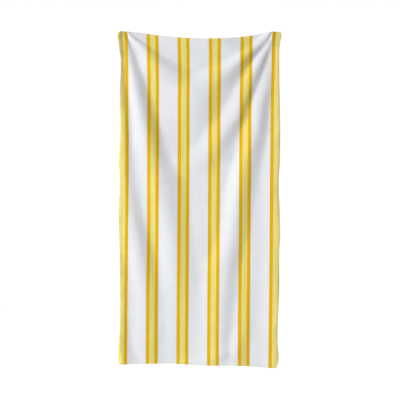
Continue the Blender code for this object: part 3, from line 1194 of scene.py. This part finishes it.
    def normals(self, flat: np.ndarray, down: np.ndarray) -> np.ndarray:
        """Gives the front's normals at points of the cloth.

        Args:
            flat: The points' distances from the left selvedge.
            down: Their distances from the top end.

        Returns:
            The normals.
        """
        step = self.normal_step
        along = self.middle(flat + step, down) - self.middle(flat - step, down)
        below = self.middle(flat, down + step) - self.middle(flat, down - step)
        outward = np.cross(below, along)
        return outward / np.linalg.norm(outward, axis=-1, keepdims=True)

    def surface(self, face: Face, flat: np.ndarray, down: np.ndarray) -> tuple[np.ndarray, np.ndarray]:
        """Gives points on one face of the cloth.

        Args:
            face: The cloth's front or back.
            flat: The points' distances from the left selvedge.
            down: Their distances from the top end.

        Returns:
            The points, and the ways out of that face there.
        """
        outward = self.normals(flat, down)
        rounded = np.minimum(self.rounding(self.sides(flat)), self.rounding(self.ends(down)))
        away = face.value * self.half(face, flat, down) * rounded
        return self.middle(flat, down) + outward * away[..., None], outward * face.value

    def stations(self, size: float, close: list[float], cell: float) -> np.ndarray:
        """Gives the mesh's lines from one edge of the cloth to the other.

        Args:
            size: The cloth's size that way.
            close: The lines beside each edge, by their distances from it.
            cell: The distance between the lines in the middle.

        Returns:
            The lines' distances from the first edge.
        """
        steps = [math.radians(angle) for angle in self.round_angles]
        edge = [self.selvedge_half * (1.0 - math.cos(step)) for step in steps] + close
        cells = round((size - 2 * edge[-1]) / cell)
        between = np.linspace(edge[-1], size - edge[-1], cells + 1)
        return np.concatenate([edge[:-1], between, size - np.array(edge[-2::-1])])

    def grid(self) -> np.ndarray:
        """Lays out the mesh's places on the cut cloth.

        Returns:
            The places row by row, each by its flat and its down.
        """
        side = [self.selvedge + line for line in self.side_lines]
        seam = [self.seam + line for line in self.seam_lines]
        fell = [self.hem_depth + line for line in self.fell_lines]
        flat = self.stations(self.plan.width, side, self.cell_across)
        down = self.stations(self.length, [*self.hem_lines, *seam, *fell], self.cell_down)
        return np.stack(np.meshgrid(flat, down), axis=-1)

    def build(self, terry: bpy.types.Material, flat_weave: bpy.types.Material) -> bpy.types.Object:
        """Builds the closed sheet, with its two faces and its rounded edges.

        Args:
            terry: The material of the looped pile.
            flat_weave: The material of the selvedges.

        Returns:
            The sheet.
        """
        places = self.grid()
        rows, columns = places.shape[:2]
        front = np.arange(rows * columns).reshape(rows, columns)
        inner = np.arange((rows - 2) * (columns - 2)).reshape(rows - 2, columns - 2)
        back = front.copy()
        back[1:-1, 1:-1] = rows * columns + inner
        quads = np.concatenate([self.quads(front)[:, ::-1], self.quads(back)])
        faces = {face: self.surface(face, places[..., 0], places[..., 1])[0] for face in Face}
        behind = faces[Face.BACK][1:-1, 1:-1].reshape(-1, 3)
        points = np.concatenate([faces[Face.FRONT].reshape(-1, 3), behind])
        towel = make_object("towel_cloth", points, quads.tolist(), [terry, flat_weave])
        cut = np.concatenate([places.reshape(-1, 2), places[1:-1, 1:-1].reshape(-1, 2)])
        set_map(towel.data, "cut cloth", cut)
        middles = cut[quads].mean(axis=1)[:, 0]
        woven = np.where(self.sides(middles) < self.selvedge, Weave.SELVEDGE.value, Weave.TERRY.value)
        towel.data.polygons.foreach_set("material_index", woven.astype(np.int32))
        return towel

    @staticmethod
    def quads(numbers: np.ndarray) -> np.ndarray:
        """Gives a grid's faces, each as the numbers of its points clockwise from its upper left."""
        corners = (numbers[:-1, :-1], numbers[:-1, 1:], numbers[1:, 1:], numbers[1:, :-1])
        return np.stack([corner.ravel() for corner in corners], axis=-1)


@dataclass
class HemStitching:
    """One hem's two rows of lockstitches, which show on the cloth's front and on its back.

    Attributes:
        cloth: The cloth that is sewn.
        pitch: The distance from one stitch to the next.
        reach: The length of a stitch that shows.
        radius: Half of the thread's thickness.
        girths: The rings of points along a stitch, by their shares of the radius.
        corners: The points of a ring.
        proud: How far the thread's middle stands out of the cloth, as a share of the radius.
        sink: How far a stitch's ends go into the cloth.
        margin: The distance from each selvedge to the row's end.
    """

    cloth: HungCloth
    pitch: float = 0.0034
    reach: float = 0.0029
    radius: float = 0.00020
    girths: tuple[float, ...] = (0.35, 0.9, 1.0, 0.9, 0.35)
    corners: int = 6
    proud: float = 0.6
    sink: float = 0.0008
    margin: float = 0.0045

    def row(self, face: Face, down: float) -> tuple[np.ndarray, np.ndarray]:
        """Gives the points of a row's stitches.

        Args:
            face: The face of the cloth that they show on.
            down: The row's distance from the cloth's top end.

        Returns:
            The points by stitch, ring and corner, and their places in the thread's map.
        """
        count = int((self.cloth.plan.width - 2 * self.margin) / self.pitch)
        starts = self.margin + self.pitch * np.arange(count)[:, None]
        share = np.linspace(0.0, 1.0, len(self.girths))
        flat = starts + self.reach * share
        points, outward = self.cloth.surface(face, flat, np.full_like(flat, down))
        dip = self.sink * np.abs(2 * share - 1) ** 4
        points = points + outward * (self.radius * self.proud - dip)[None, :, None]
        along = np.gradient(points, axis=1)
        along /= np.linalg.norm(along, axis=-1, keepdims=True)
        beside = np.cross(along, outward)
        turn = 2 * math.pi * np.arange(self.corners) / self.corners
        girth = self.radius * np.array(self.girths)
        ring = beside[:, :, None] * np.cos(turn)[None, None, :, None]
        ring = ring + np.cross(beside, along)[:, :, None] * np.sin(turn)[None, None, :, None]
        made = points[:, :, None] + ring * girth[None, :, None, None]
        around = np.broadcast_to(np.arange(self.corners) / self.corners, made.shape[:3])
        lengths = np.broadcast_to(flat[:, :, None], made.shape[:3])
        return made, np.stack([lengths, around], axis=-1)

    def stitch(self) -> list[tuple[int, ...]]:
        """Gives one stitch's faces.

        Returns:
            The faces, each as the numbers of its points.
        """
        first = np.arange(self.corners)
        after = (first + 1) % self.corners
        rings = [self.corners * ring for ring in range(len(self.girths))]
        tube = [
            (ring + a, ring + b, following + b, following + a)
            for ring, following in zip(rings, rings[1:])
            for a, b in zip(first, after)
        ]
        return [*tube, tuple(first[::-1]), tuple(rings[-1] + first)]

    def build(self, name: str, down: float, thread: bpy.types.Material) -> bpy.types.Object:
        """Builds both rows of one hem.

        Args:
            name: The object's name.
            down: The rows' distance from the cloth's top end.
            thread: The thread's material.

        Returns:
            The stitches, as one object.
        """
        made = [self.row(face, down) for face in Face]
        points = np.concatenate([points.reshape(-1, 3) for points, _ in made])
        places = np.concatenate([places.reshape(-1, 2) for _, places in made])
        starts = range(0, len(points), len(self.girths) * self.corners)
        faces = [[int(corner) + start for corner in face] for start in starts for face in self.stitch()]
        stitching = make_object(name, points, faces, [thread])
        set_map(stitching.data, "thread", places)
        return stitching


@dataclass
class BeachTowel:
    """The whole towel: its cloth and the stitching of its two hems.

    Attributes:
        cloth: The hung cloth.
    """

    cloth: HungCloth

    def build(self) -> None:
        """Builds the towel's pieces, hangs them from the root body, logs their points and hides the
        imported towel part.
        """
        stripes, unlevel, loops = WovenStripes(self.cloth.plan), Unlevel(), Loops()
        terry = TerryFinish().material(stripes, unlevel, loops)
        flat_weave = SelvedgeFinish().material(stripes, unlevel)
        sheet = self.cloth.build(terry, flat_weave)
        thread = ThreadFinish().material()
        stitching, seam = HemStitching(self.cloth), self.cloth.seam
        hems = [
            stitching.build("top_hem_stitching", seam, thread),
            stitching.build("bottom_hem_stitching", self.cloth.length - seam, thread),
        ]
        for piece in (sheet, *hems):
            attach(piece, "root")
            log.info("%s: %d points", piece.name, len(piece.data.vertices))
        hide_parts("towel")


@dataclass
class Studio:
    """A plain pale floor, soft light and the camera.

    Attributes:
        picture_width: How much of the towel's plane the picture's width shows.
        eye_drop: The camera's depth below the middle of the top edge.
        lens: The camera's focal length in millimetres.
        sensor: The width of its sensor in millimetres.
        floor_gap: The distance from the towel's lowest point down to the floor.
        floor_size: The side of the square floor.
        floor_colour: The floor's colour.
        floor_roughness: Its roughness.
        floor_glow: How much brighter than lit it shows to the camera.
        key_from: The way from the towel to the main light.
        key_strength: The main light's strength.
        rear_from: The way from the towel to the weak light behind it.
        rear_strength: That light's strength.
        softness: The angle that each light fills, in degrees.
        room_colour: The colour of the room's even light.
        fill: The brightness of the room's even light.
        backdrop: The brightness that the room shows to the camera.
    """

    picture_width: float = 1.82
    eye_drop: float = 0.7355
    lens: float = 100.0
    sensor: float = 36.0
    floor_gap: float = 0.45
    floor_size: float = 14.0
    floor_colour: tuple[float, ...] = (0.86, 0.86, 0.86, 1.0)
    floor_roughness: float = 0.9
    floor_glow: float = 0.5
    key_from: tuple[float, float, float] = (-0.79, -0.58, 0.16)
    key_strength: float = 2.74
    rear_from: tuple[float, float, float] = (0.83, 0.50, 0.22)
    rear_strength: float = 1.9
    softness: float = 24.0
    room_colour: tuple[float, ...] = (0.985, 1.0, 1.025, 1.0)
    fill: float = 0.388
    backdrop: float = 1.02

    def camera(self) -> None:
        """Sets the camera up in front of the towel, level and square to it."""
        data = bpy.data.cameras.new("camera")
        data.lens, data.sensor_width = self.lens, self.sensor
        made = bpy.data.objects.new("camera", data)
        made.location = (0.0, -self.picture_width * self.lens / self.sensor, -self.eye_drop)
        made.rotation_euler = (math.pi / 2, 0.0, 0.0)
        bpy.context.scene.collection.objects.link(made)
        bpy.context.scene.camera = made

    def lamp(self, name: str, way: tuple, strength: float) -> None:
        """Hangs a soft lamp far off.

        Args:
            name: The lamp's name.
            way: The way from the towel to the lamp.
            strength: Its strength.
        """
        data = bpy.data.lights.new(name, "SUN")
        data.energy, data.angle = strength, math.radians(self.softness)
        made = bpy.data.objects.new(name, data)
        made.rotation_euler = Vector(way).to_track_quat("Z", "Y").to_euler()
        bpy.context.scene.collection.objects.link(made)

    def room(self) -> None:
        """Fills the room with even light, and shows it white behind the towel."""
        world = bpy.data.worlds.new("white room")
        world.use_nodes = True
        bpy.context.scene.world = world
        graph = Graph(world.node_tree)
        strength = graph.span(self.seen(graph), self.fill, self.backdrop)
        graph.feed(world.node_tree.nodes["Background"], {"Color": self.room_colour, "Strength": strength})

    def floor(self, height: float) -> None:
        """Lays the pale floor.

        Args:
            height: How high it lies.
        """
        side = self.floor_size / 2
        corners = [(-side, -side), (side, -side), (side, side), (-side, side)]
        points = np.array([(*corner, height) for corner in corners])
        surface = Surface("pale floor")
        material = surface.gives({
            "Base Color": self.floor_colour,
            "Roughness": self.floor_roughness,
            "Emission Color": (1.0, 1.0, 1.0, 1.0),
            "Emission Strength": surface.span(self.seen(surface), 0.0, self.floor_glow),
        })
        make_object("studio_floor", points, [(0, 1, 2, 3)], [material])

    @staticmethod
    def seen(graph: Graph) -> bpy.types.NodeSocket:
        """Adds a Light Path node and gives 1 where the camera looks straight at a place."""
        return graph.node("ShaderNodeLightPath").outputs["Is Camera Ray"]

    def build(self) -> None:
        """Sets up the camera, the lights and the floor."""
        self.camera()
        self.lamp("key light", self.key_from, self.key_strength)
        self.lamp("rear light", self.rear_from, self.rear_strength)
        self.room()
        self.floor(SOLID_BOUNDS[0].z - self.floor_gap)
        bpy.context.scene.view_settings.view_transform = "Standard"
        log.info("studio: floor %.2f m below the top edge", self.floor_gap - SOLID_BOUNDS[0].z)


def main() -> None:
    """Builds the studio and the towel."""
    logging.basicConfig(level=logging.INFO, format="%(name)s: %(message)s")
    Studio().build()
    BeachTowel(HungCloth(StripePlan(), Outline(), Folds())).build()


if __name__ == "__main__":
    main()
